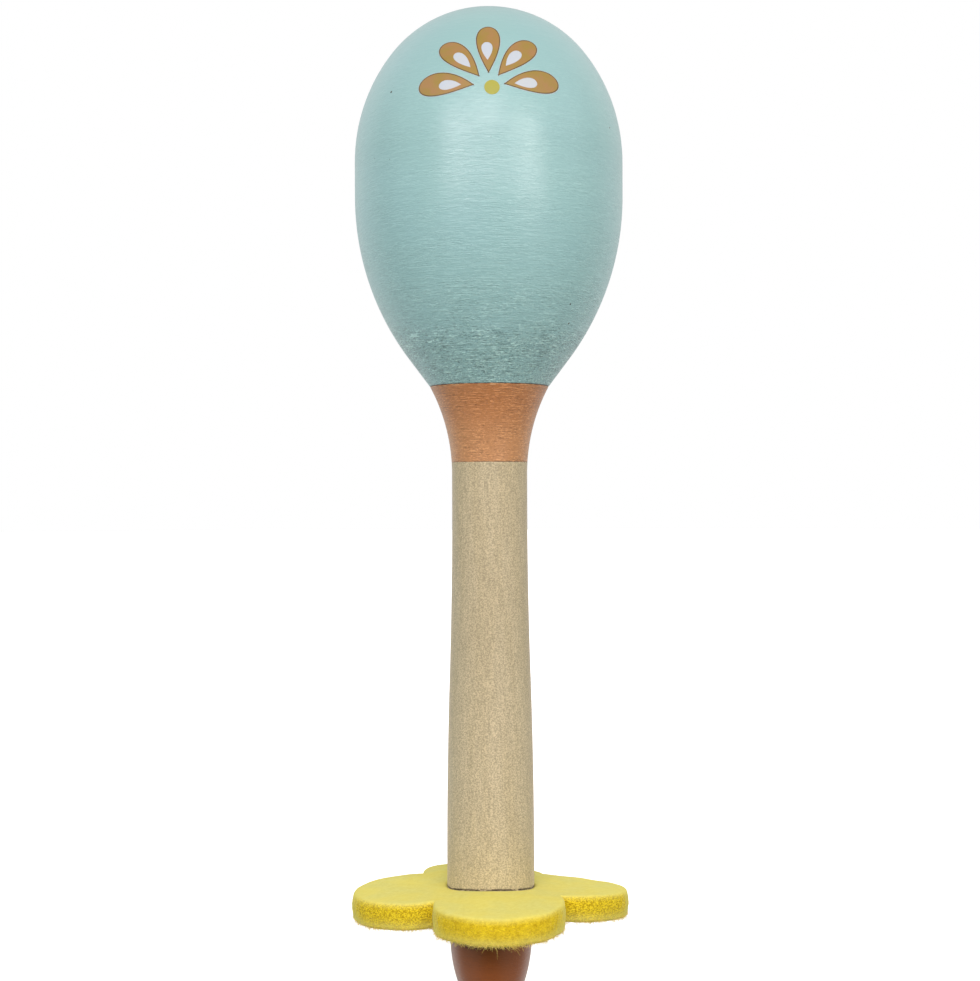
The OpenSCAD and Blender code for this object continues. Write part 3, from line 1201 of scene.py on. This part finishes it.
@dataclass
class FeltFlower:
    """The thick felt flower that is clamped between the handle and the knob."""

    reach: float = 27.8  # from the axis to a petal's tip
    petal: float = 12.75  # radius of a petal's round end
    count: int = 4
    turn: float = 6.0  # of the flower about the axis, in degrees
    droops: tuple[Point, ...] = (  # directions in degrees, and the drop of the edge there
        (6.0, 2.2), (24.0, 3.0), (38.0, 2.9), (51.0, 2.2), (66.0, 3.1), (96.0, 2.8), (116.0, 2.1),
        (141.0, 1.0), (158.0, 1.5), (186.0, 1.85), (206.0, 1.55), (231.0, 1.05), (250.0, 0.8),
        (276.0, 1.05), (298.0, 0.45), (321.0, 0.35), (340.0, 1.0),
    )
    spread: int = 18  # the drops are smoothed over this part of a turn
    bend: float = 1.6  # how sharply the drop grows from the clamped middle to the edge
    corners: tuple[Point, ...] = (  # directions in degrees, and how far the hand cut stands out
        (292.5, 0.35), (262.0, 0.15), (202.0, 0.2), (174.0, 0.15), (352.0, 0.15), (16.0, 0.1),
    )
    corner_width: float = 9.0  # to each side, in degrees
    thickness: float = 5.0
    top_z: float = 24.2  # of the upper face at the handle
    clamp: float = 8.8  # radius that is clamped flat
    hole: float = 4.0  # radius of the dowel's hole
    soft: float = 0.8  # rounding of the upper edge
    soft_low: float = 1.0  # rounding of the lower edge
    swell: float = 0.45  # how much thicker the free edge is
    bulge: float = 0.2  # how far the side stands out halfway down
    sag: float = 0.95  # how much lower the upper face is left and right of the handle
    floor_z: float = 22.85  # of the upper face under the handle, which presses it flat
    gap: float = 0.15  # depth of the gap round the handle's foot
    gap_at: Point = (8.8, 0.5)  # radius of that gap, and its half width
    gap_room: float = 0.8  # fine rows to each side of it
    rough: tuple[Point, ...] = ((1.3, 0.09), (3.1, 0.05))  # cells to a millimetre, and height
    waves: Point = (0.17, 0.22)  # the same for the slow waves
    loose: Point = (0.35, 0.8)  # and for the gap's uneven depth
    free: float = 4.0  # width over which the clamped felt comes free
    columns: int = 720  # of the mesh, round the axis

    def outline(self, angle: float) -> float:
        """Gives the flower's radius in a direction.

        Args:
            angle: The direction, in radians.

        Returns:
            The radius, in millimetres.
        """
        centre = self.reach - self.petal
        best = centre
        for k in range(self.count):
            off = angle - math.radians(self.turn) - TURN * k / self.count
            across = centre * math.sin(off)
            if math.cos(off) > 0 and abs(across) < self.petal:
                best = max(best, centre * math.cos(off) + math.sqrt(self.petal**2 - across**2))
        for direction, out in self.corners:
            away = (math.degrees(angle) - direction + 180.0) % 360.0 - 180.0
            best += out * max(0.0, 1.0 - abs(away) / self.corner_width)
        return best

    def hang(self) -> np.ndarray:
        """Smooths the drop of the felt's edge round the axis.

        Returns:
            The drop at each column, in millimetres.
        """
        turns = 360.0 * np.arange(self.columns) / self.columns
        drops = np.interp(turns, *zip(*self.droops), period=360.0)
        spread = np.hanning(self.columns // self.spread)
        smooth = np.convolve(np.tile(drops, 3), spread / spread.sum(), mode="same")
        return smooth[self.columns : 2 * self.columns]

    def area(self) -> float:
        """Measures the flat cut without the hole.

        Returns:
            Its area, in square millimetres.
        """
        angles = np.linspace(0.0, TURN, self.columns, endpoint=False)
        radii = np.array([self.outline(a) for a in angles])
        return float(0.5 * (radii**2 - self.hole**2).sum() * TURN / self.columns)

    def section(self, edge: float) -> list[Spot]:
        """Gives the felt's cross section in one direction, as a loop.

        Rows 0 to 29 are the upper face, 30 to 34 its rounding, 35 to 46 the side, 47 to 51 the
        lower rounding, and the rest the lower face and the hole.

        Args:
            edge: The flower's radius in that direction, in millimetres.

        Returns:
            Radius, depth under the upper face, and share of cut edge, row by row.
        """
        near, far = self.gap_at[0] - self.gap_room, self.gap_at[0] + self.gap_room
        top = [*np.linspace(self.hole, near, 4), *np.linspace(near, far, 14)[1:]]
        top += [*np.linspace(far, edge - self.soft, 14)[1:]]
        loop = [(float(radius), 0.0, 0.0) for radius in top]
        quarter = np.linspace(0.0, math.pi / 2, 6)[1:]
        for a in quarter:
            rise, cut = self.soft * (1 - math.cos(a)), 0.8 * math.sin(a) ** 3
            loop.append((edge - self.soft * (1 - math.sin(a)), rise, cut))
        for s in np.linspace(0.0, 1.0, 13)[1:]:
            out, cut = edge + self.bulge * math.sin(math.pi * s), min(1.0, 0.8 + 2 * s) - 0.5 * s**4
            loop.append((out, self.soft + (self.thickness - self.soft - self.soft_low) * s, cut))
        for a in quarter:
            drop = self.thickness - self.soft_low * (1 - math.sin(a))
            loop.append((edge - self.soft_low * (1 - math.cos(a)), drop, 0.25 + 0.25 * math.cos(a)))
        for s in np.linspace(0.0, 1.0, 24)[1:]:
            radius = edge - self.soft_low + (self.hole - edge + self.soft_low) * s
            loop.append((radius, self.thickness, 0.25 * (1 - s)))
        loop += [(self.hole, self.thickness * (1 - s), 1.0) for s in np.linspace(0.0, 1.0, 6)[1:-1]]
        return loop

    def bent(self, angle: float, edge: float, hang: float, row: Spot) -> Spot:
        """Moves a point of the section to where it hangs, and makes it uneven.

        Args:
            angle: Its direction, in radians.
            edge: The flower's radius there, in millimetres.
            hang: The drop of the felt's edge there.
            row: Its radius, its depth under the upper face and its share of cut edge.

        Returns:
            The point, in millimetres.
        """
        radius, depth, cut = row
        x, y = radius * math.cos(angle), radius * math.sin(angle)
        out = max(0.0, radius - self.clamp)
        share, free = out / (edge - self.clamp), min(1.0, out / self.free)
        low = self.sag * math.cos(angle) ** 2 * (1 - depth / self.thickness)
        drop = low + (hang - low) * share**self.bend
        z = self.top_z - drop - depth * (1 + self.swell * share / self.thickness)
        rough = sum(noise.noise(Vector((x, y, z)) * cells) * high for cells, high in self.rough)
        wave = noise.noise(Vector((x, y, 0.0)) * self.waves[0]) * self.waves[1]
        wide = 1.0 + (rough + 0.06 * wave) * cut / max(radius, 1.0)
        z += wave * free + rough * 0.25 * free * (1 - cut)
        if depth == 0.0:
            middle, width = self.gap_at
            loose = 1.0 + self.loose[1] * noise.noise(Vector((x, y, 9.0)) * self.loose[0])
            z -= self.gap * loose * math.exp(-(((radius - middle) / width) ** 2))
            pressed = min(1.0, max(0.0, (middle + 0.2 - radius) / 0.25))
            z += (self.floor_z - z) * pressed
        return x * wide, y * wide, z

    def surface(self) -> tuple[MeshParts, np.ndarray]:
        """Makes the felt's mesh.

        Returns:
            The mesh, and its points in millimetres by column and row.
        """
        parts, grid, hang = MeshParts(marks={"cut": []}), [], self.hang()
        for column in range(self.columns):
            angle = TURN * column / self.columns
            edge = self.outline(angle)
            section = self.section(edge)
            grid.append([self.bent(angle, edge, hang[column], row) for row in section])
            parts.marks["cut"] += [cut for _, _, cut in section]
        rows = len(grid[0])
        parts.points = [(x * MM, y * MM, z * MM) for ring in grid for x, y, z in ring]
        for column in range(self.columns):
            after = (column + 1) % self.columns
            u0, u1 = column / self.columns, (column + 1) / self.columns
            for row in range(rows):
                below, v0, v1 = (row + 1) % rows, row / rows, (row + 1) / rows
                corners = ((column, row), (column, below), (after, below), (after, row))
                parts.faces.append(tuple(c * rows + r for c, r in corners))
                parts.uvs += [(u0, v0), (u0, v1), (u1, v1), (u1, v0)]
        return parts, np.array(grid)

    def build(self, palette: Palette) -> tuple[bpy.types.Object, bpy.types.Object]:
        """Makes the felt and the loose fibres on it.

        Args:
            palette: Where the materials come from.

        Returns:
            The felt and its fibres.
        """
        parts, grid = self.surface()
        felt = parts.dressed("felt_petals", [palette.get(FELT)], Slot.FELT, ("felt_flower",), 60.0)
        fuzz = Fuzz().build(grid, palette)
        self.area() * MM * MM
        return felt, fuzz


@dataclass(frozen=True)
class Tuft:
    """One kind of loose fibre."""

    count: int
    rows: tuple[int, int]  # of the felt's section, where they grow
    length: Point  # shortest and longest
    fall: float  # how far they lean up or down
    lie: float  # how far they lie along the edge instead of standing out of it
    thick: float  # radius at the root
    cut: float  # how golden they are, as the cut edge is


@dataclass
class Fuzz:
    """Loose fibres on the felt: on its side, along its side, at its hem, and a few long ones."""

    tufts: tuple[Tuft, ...] = (
        Tuft(1400, (33, 50), (0.2, 0.6), -0.1, 0.3, 0.022, 0.9),
        Tuft(1800, (35, 51), (0.3, 0.8), 0.0, 1.0, 0.03, 1.0),
        Tuft(4200, (47, 54), (0.5, 1.3), -1.15, 0.15, 0.03, 0.1),
        Tuft(420, (48, 56), (1.2, 3.0), -1.2, 0.25, 0.028, 0.0),
    )
    joints: int = 3  # steps along a fibre
    sides: int = 3
    taper: float = 0.7  # share of its radius that a fibre loses
    root: float = 0.08  # how deep it starts in the felt
    aside: Spot = (0.31, 0.87, 0.38)  # a direction that no fibre keeps to
    seed: int = 7

    def strand(
        self, rng: np.random.Generator, root: np.ndarray, way: np.ndarray, length: float
    ) -> np.ndarray:
        """Bends one fibre.

        Args:
            rng: Source of the random draws.
            root: Where it leaves the felt, in millimetres.
            way: The direction in which it leaves.
            length: Its length.

        Returns:
            The points that it follows.
        """
        points, curl = [root], rng.normal(0.0, 0.6, 3)
        for _ in range(self.joints):
            way = way + curl / self.joints + rng.normal(0.0, 0.12, 3)
            way = way / np.linalg.norm(way)
            points.append(points[-1] + way * length / self.joints)
        return np.array(points)

    def tube(self, parts: MeshParts, path: np.ndarray, thick: float) -> None:
        """Adds a thin tapered tube along a path.

        Args:
            parts: The mesh that it goes into.
            path: The points that it follows, in millimetres.
            thick: Its radius at the root.
        """
        first, sides, last = len(parts.points), self.sides, len(path) - 1
        for index, point in enumerate(path):
            ahead = path[min(index + 1, last)] - path[max(index - 1, 0)]
            across = np.cross(ahead, self.aside)
            across = across / max(float(np.linalg.norm(across)), 1e-9)
            up = np.cross(ahead / max(float(np.linalg.norm(ahead)), 1e-9), across)
            wide = thick * (1.0 - self.taper * index / last)
            for k in range(sides):
                a = TURN * k / sides
                spot = (point + (across * math.cos(a) + up * math.sin(a)) * wide) * MM
                parts.points.append(tuple(float(v) for v in spot))
        for index in range(last):
            low, high = first + index * sides, first + (index + 1) * sides
            for k in range(sides):
                n = (k + 1) % sides
                parts.faces.append((low + k, low + n, high + n, high + k))
        parts.faces.append(tuple(first + k for k in reversed(range(sides))))
        parts.faces.append(tuple(first + last * sides + k for k in range(sides)))

    def build(self, grid: np.ndarray, palette: Palette) -> bpy.types.Object:
        """Grows the fibres.

        Args:
            grid: The felt's points in millimetres, by column and row.
            palette: Where the material comes from.

        Returns:
            The fibres as one piece.
        """
        rng, parts = np.random.default_rng(self.seed), MeshParts(marks={"cut": []})
        for tuft in self.tufts:
            for _ in range(tuft.count):
                column, row = int(rng.integers(0, len(grid))), int(rng.integers(*tuft.rows))
                root = grid[column, row]
                along = grid[(column + 1) % len(grid), row] - root
                along = along / np.linalg.norm(along) * rng.choice((-1.0, 1.0))
                out = np.cross(along, (0.0, 0.0, 1.0))
                out = out * np.sign(out @ root)
                stand = out * rng.uniform(0.2, 1.0) + rng.normal(0.0, 0.55, 3)
                stand = stand + np.array([0.0, 0.0, tuft.fall])
                flat = along + out * rng.uniform(0.02, 0.15)
                flat = flat + np.array([0.0, 0.0, rng.normal(0.0, 0.3)])
                way = stand + (flat - stand) * tuft.lie
                way = way / np.linalg.norm(way)
                length = rng.uniform(*tuft.length) * rng.uniform(0.5, 1.0)
                self.tube(parts, self.strand(rng, root - way * self.root, way, length), tuft.thick)
            parts.marks["cut"] += [tuft.cut] * (len(parts.points) - len(parts.marks["cut"]))
        return parts.dressed("felt_fuzz", [palette.get(LOOSE_WOOL)], Slot.FELT, sharp=180.0)


# ---- print ----


@dataclass(frozen=True)
class Drop:
    """A teardrop of the rosette, in the print's own plane."""

    angle: float  # its direction from the rosette's centre, in degrees
    near: float  # from the centre to its point
    far: float  # from the centre to its round end
    width: float
    widest: float = 0.7698  # greatest value of sin(t) * sin(t / 2)

    def outline(self, count: int, grow: float = 0.0) -> np.ndarray:
        """Gives its outline, anticlockwise from its point.

        Args:
            count: Number of points.
            grow: How much larger it is all round, in millimetres.

        Returns:
            Points in the print's plane.
        """
        t = np.linspace(0.0, TURN, count, endpoint=False)
        out = self.near + (self.far - self.near) / 2 * (1 - np.cos(t))
        across = self.width / 2 / self.widest * np.sin(t) * np.sin(t / 2)
        a = math.radians(self.angle)
        x = out * math.cos(a) + across * math.sin(a)
        y = out * math.sin(a) - across * math.cos(a)
        points = np.stack([x, y], axis=1)
        ahead = np.roll(points, -1, axis=0) - np.roll(points, 1, axis=0)
        normal = np.stack([ahead[:, 1], -ahead[:, 0]], axis=1)
        return points + grow * normal / np.linalg.norm(normal, axis=1, keepdims=True)


@dataclass
class RosettePrint:
    """The half rosette that is printed near the top of the head."""

    head: Head
    tilt: float = 30.0  # how far the print's plane leans back, in degrees
    centre: Spot = (0.07, -25.72, 178.37)  # of the rosette, on the head
    petals: tuple[Drop, ...] = (
        Drop(14.8, 2.95, 13.6, 4.8),
        Drop(54.0, 2.95, 14.4, 4.7),
        Drop(90.5, 2.9, 14.9, 4.6),
        Drop(128.0, 2.8, 14.2, 4.7),
        Drop(168.0, 2.8, 13.5, 4.8),
    )
    windows: tuple[Drop, ...] = (  # the pale drops inside the petals
        Drop(12.9, 4.95, 9.3, 2.1),
        Drop(55.5, 5.65, 10.35, 2.1),
        Drop(92.0, 5.9, 10.4, 2.1),
        Drop(128.0, 5.55, 10.35, 2.0),
        Drop(170.0, 5.25, 9.5, 2.0),
    )
    dot: Point = (0.6, 0.0)  # its place in the print's plane
    dot_radius: float = 1.45
    halo: float = 0.07  # how far the pale ground stands out round the ink
    rim: float = 0.2  # width of the dark line round each petal
    bury: float = 0.05  # how deep the films reach into the lacquer
    core: float = 0.02  # share to which a film's last loop shrinks
    search: Point = (-12.0, 16.0)  # along the print's sight line, where the head's surface lies
    nudge: float = 0.01  # for the head's slope
    points: int = 96  # of a petal's outline
    dot_points: int = 48

    def on_head(self, flat: Point, lift: float) -> Spot:
        """Lays a point of the print on the head.

        Args:
            flat: The point in the print's plane, in millimetres.
            lift: How far it stands over the lacquer.

        Returns:
            The point, in metres.
        """
        lean = math.radians(self.tilt)
        up = np.array([0.0, math.sin(lean), math.cos(lean)])
        inward = np.array([0.0, math.cos(lean), -math.sin(lean)])
        start = np.array(self.centre) + np.array([flat[0], 0.0, 0.0]) + up * flat[1]
        low, high = self.search
        for _ in range(40):
            middle = (low + high) / 2
            x, y, z = start + inward * middle
            outside = math.hypot(x, y) > self.head.radius_at(z)
            low, high = (middle, high) if outside else (low, middle)
        x, y, z = start + inward * high
        upper, lower = (self.head.radius_at(z + side * self.nudge) for side in (1, -1))
        radius = math.hypot(x, y)
        normal = np.array([x / radius, y / radius, (lower - upper) / (2 * self.nudge)])
        spot = np.array([x, y, z]) + normal / np.linalg.norm(normal) * lift
        return tuple(float(v) * MM for v in spot)

    def film(
        self, parts: MeshParts, outer: np.ndarray, inner: np.ndarray, steps: int, layer: Layer
    ) -> None:
        """Adds a thin closed film between two outlines.

        Args:
            parts: The mesh that it goes into.
            outer: The outer outline, in the print's plane.
            inner: The inner outline, with as many points.
            steps: Rows of faces between them.
            layer: The film's layer.
        """
        loops = [outer + (inner - outer) * s for s in np.linspace(0.0, 1.0, steps + 1)]
        count, first = len(outer), len(parts.points)
        for lift in (layer.value, -self.bury):
            for loop in loops:
                parts.points += [self.on_head((float(x), float(y)), lift) for x, y in loop]
        span = len(loops) * count
        sheets = [(first + ring * count, count, False) for ring in range(steps)]
        sheets += [(first + span + ring * count, count, True) for ring in range(steps)]
        sheets += [(first, span, True), (first + steps * count, span, False)]
        for base, over, flip in sheets:
            for k in range(count):
                n = (k + 1) % count
                quad = (base + k, base + n, base + over + n, base + over + k)
                parts.faces.append(quad[::-1] if flip else quad)

    def build(self, palette: Palette) -> list[bpy.types.Object]:
        """Prints the pale ground, the ochre petals with their dark rims, and the dot.

        Args:
            palette: Where the inks come from.

        Returns:
            The pieces.
        """
        ground, ink, rims, spot = MeshParts(), MeshParts(), MeshParts(), MeshParts()
        for petal, window in zip(self.petals, self.windows):
            outline, hole = petal.outline(self.points), window.outline(self.points)
            core = hole.mean(axis=0) + (hole - hole.mean(axis=0)) * self.core
            self.film(ground, petal.outline(self.points, self.halo), core, 8, Layer.BASE)
            self.film(ink, outline, hole, 6, Layer.INK)
            self.film(rims, outline, petal.outline(self.points, -self.rim), 1, Layer.RIM)
        angles = np.linspace(0.0, TURN, self.dot_points, endpoint=False)
        ring = np.stack([np.cos(angles), np.sin(angles)], axis=1) * self.dot_radius
        self.film(spot, ring + self.dot, ring * self.core + self.dot, 5, Layer.INK)
        return [
            parts.dressed(name, [palette.get(finish)])
            for name, parts, finish in (
                ("print_ground", ground, CREAM_INK),
                ("print_petals", ink, OCHRE_INK),
                ("print_rims", rims, RIM_INK),
                ("print_dot", spot, YELLOW_INK),
            )
        ]


# ---- studio ----


@dataclass
class Lamp:
    """A soft oval lamp that faces the part."""

    name: str
    azimuth: float  # round the axis from the front to the right, in degrees
    elevation: float  # over the level, in degrees
    size: Point  # width and height, in metres
    power: float  # in watts
    tint: Colour = WHITE
    distance: float = 0.9  # in metres

    def build(self, aim: Vector) -> None:
        """Sets up the lamp.

        Args:
            aim: The point that it faces, in metres.
        """
        light = bpy.data.lights.new(self.name, "AREA")
        light.shape, light.energy, light.color = "ELLIPSE", self.power, self.tint
        light.size, light.size_y = self.size
        a, e = math.radians(self.azimuth), math.radians(self.elevation)
        back = Vector((math.sin(a) * math.cos(e), -math.cos(a) * math.cos(e), math.sin(e)))
        lamp = bpy.data.objects.new(self.name, light)
        lamp.location = aim + back * self.distance
        lamp.rotation_euler = (-back).to_track_quat("-Z", "Y").to_euler()
        bpy.context.scene.collection.objects.link(lamp)


@dataclass
class Glow:
    """A soft part of the white surround that gives light."""

    toward: Spot  # direction of its middle
    start: float  # lean towards that direction at which it starts, from -1 to 1
    full: float  # lean at which it is full
    strength: float
    tint: Colour = WHITE


@dataclass
class Studio:
    """The pale floor, the soft light and the camera."""

    eye: Spot = (0.00007, -0.3339, 0.103)  # of the camera, in metres
    lens: float = 60.55  # in millimetres
    sensor: float = 36.0
    clip: Point = (0.01, 50.0)  # nearest and farthest that it sees, in metres
    roll: float = 0.176  # of the camera about its sight line, in degrees
    aim: Spot = (0.0, 0.0, 0.12)  # what the lamps face, in metres
    lamps: tuple[Lamp, ...] = (
        Lamp("key_left", -25.0, 22.0, (0.48, 0.26), 3.08, (1.1, 0.99, 1.02)),
        Lamp("key_right", 29.0, 20.0, (0.5, 0.26), 2.35, (1.09, 1.0, 0.98)),
        Lamp("key_middle", 1.0, 24.0, (0.3, 0.24), 1.42, (1.13, 1.0, 1.01)),
        Lamp("key_top", 0.0, 37.0, (0.44, 0.2), 1.13, (1.12, 1.0, 1.02)),
        Lamp("fill_low", 37.0, 8.0, (0.4, 0.17), 1.05, (1.03, 1.0, 0.97)),
        Lamp("side_left", -75.0, 25.0, (0.5, 0.5), 0.3),
        Lamp("side_right", 75.0, 25.0, (0.5, 0.5), 0.5),
    )
    glows: tuple[Glow, ...] = (
        Glow((0.0, 1.0, 0.0), 0.0, 0.6, 0.71),
        Glow((-1.0, 0.0, 0.0), 0.2, 0.8, 0.37, (0.88, 0.98, 1.0)),
        Glow((1.0, 0.0, 0.0), 0.2, 0.8, 0.27),
        Glow((0.0, 0.0, 1.0), 0.1, 0.8, 0.16, (1.12, 0.98, 1.0)),
        Glow((0.0, 0.0, -1.0), 0.1, 0.8, 0.23, (0.85, 1.0, 1.0)),
    )
    floor_radius: float = 4.0  # in metres
    floor_sides: int = 64
    floor_grey: float = 0.8
    floor_rough: float = 0.9
    floor_glow: tuple[float, ...] = (0.02, 0.3, 0.74, 1.0)  # near, far, and its glow at each

    def floor(self) -> None:
        """Lays the pale floor under the knob's foot."""
        parts, radius = MeshParts(), self.floor_radius
        turns = np.linspace(0.0, TURN, self.floor_sides, endpoint=False)
        parts.points = [(radius * math.cos(a), radius * math.sin(a), 0.0) for a in turns]
        parts.faces = [tuple(range(self.floor_sides))]
        floor = parts.build("floor")
        material = bpy.data.materials.new("pale_floor")
        material.use_nodes = True
        shader = material.node_tree.nodes["Principled BSDF"]
        graph = Graph(material.node_tree)
        spread = graph.add("VectorMath", {0: graph.place()}, "Value", operation="LENGTH")
        glow = graph.mix(graph.remap(spread, *self.floor_glow), (0.0, 0.0, 0.0), WHITE)
        graph.feed(shader.inputs["Base Color"], (self.floor_grey,) * 3)
        graph.feed(shader.inputs["Roughness"], self.floor_rough)
        graph.feed(shader.inputs["Emission Color"], glow)
        graph.feed(shader.inputs["Emission Strength"], 1.0)
        floor.data.materials.append(material)
        floor.visible_diffuse = floor.visible_glossy = floor.visible_shadow = False
        floor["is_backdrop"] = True

    def world(self) -> None:
        """Surrounds the part with soft light, and shows white behind it."""
        world = bpy.data.worlds.new("studio")
        bpy.context.scene.world = world
        world.use_nodes = True
        graph = Graph(world.node_tree)
        ray = graph.add("TexCoord", out="Generated")
        total: Feed = (0.0, 0.0, 0.0)
        for glow in self.glows:
            feeds = {0: ray, 1: glow.toward}
            lean = graph.add("VectorMath", feeds, "Value", operation="DOT_PRODUCT")
            part = graph.remap(lean, glow.start, glow.full, 0.0, glow.strength)
            total = graph.vector("ADD", total, graph.scale(glow.tint, part))
        seen = graph.add("LightPath", out="Is Camera Ray")
        back = world.node_tree.nodes["Background"]
        graph.feed(back.inputs["Color"], graph.mix(seen, total, WHITE))

    def camera(self) -> None:
        """Sets the camera at the photograph's view."""
        data = bpy.data.cameras.new("camera")
        data.lens, data.sensor_width = self.lens, self.sensor
        data.clip_start, data.clip_end = self.clip
        camera = bpy.data.objects.new("camera", data)
        camera.location = self.eye
        camera.rotation_euler = (math.pi / 2, math.radians(self.roll), 0.0)
        bpy.context.scene.collection.objects.link(camera)
        bpy.context.scene.camera = camera

    def build(self) -> None:
        """Sets up the whole studio."""
        self.camera()
        self.floor()
        self.world()
        for lamp in self.lamps:
            lamp.build(Vector(self.aim))
        bpy.context.scene.view_settings.view_transform = "Standard"


def dress_nodes(nodes: dict[str, bpy.types.Object], palette: Palette) -> None:
    """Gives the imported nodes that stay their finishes.

    Args:
        nodes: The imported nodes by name.
        palette: Where the materials come from.
    """
    looks = {"knob_dowel": (DOWEL_WOOD, Slot.DOWEL), "pellet": (SEED, Slot.PELLET)}
    for name, node in nodes.items():
        for start, (finish, slot) in looks.items():
            if name.startswith(start):
                node.data.materials.clear()
                node.data.materials.append(palette.get(finish))


def write_size(before: tuple[Vector, Vector], after: tuple[Vector, Vector]) -> None:
    """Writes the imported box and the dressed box.

    Args:
        before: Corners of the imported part, in metres.
        after: Corners of the dressed part.
    """
    for title, (low, high) in (("cad", before), ("visual", after)):
        LOG.info("%s box %s to %s", title, [round(v, 4) for v in low], [round(v, 4) for v in high])


def main() -> None:
    """Builds the dressed maraca and its studio."""
    logging.basicConfig(level=logging.INFO, format="%(name)s: %(message)s")
    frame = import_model()
    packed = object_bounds()
    palette = Palette()
    Studio().build()
    head = Head("painted_head", ("head_dome", "head_bowl"), Slot.MINT, (MINT, BARE_WOOD))
    collar = Collar("painted_collar", ("neck_collar",), Slot.TERRACOTTA, (TERRACOTTA, BARE_WOOD))
    handle = Handle("turned_handle", ("handle",), Slot.WOOD, (BARE_WOOD,))
    knob = Knob("turned_knob", ("end_knob",), Slot.TERRACOTTA, (KNOB_PAINT, BARE_WOOD))
    pieces = [piece.build(palette) for piece in (head, collar, handle, knob)]
    pieces += [*FeltFlower().build(palette), *RosettePrint(head).build(palette)]
    dress_nodes(frame["nodes"], palette)
    for piece in pieces:
        LOG.info("%s: %d faces", piece.name, len(piece.data.polygons))
    write_size(packed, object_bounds())


if __name__ == "__main__":
    main()
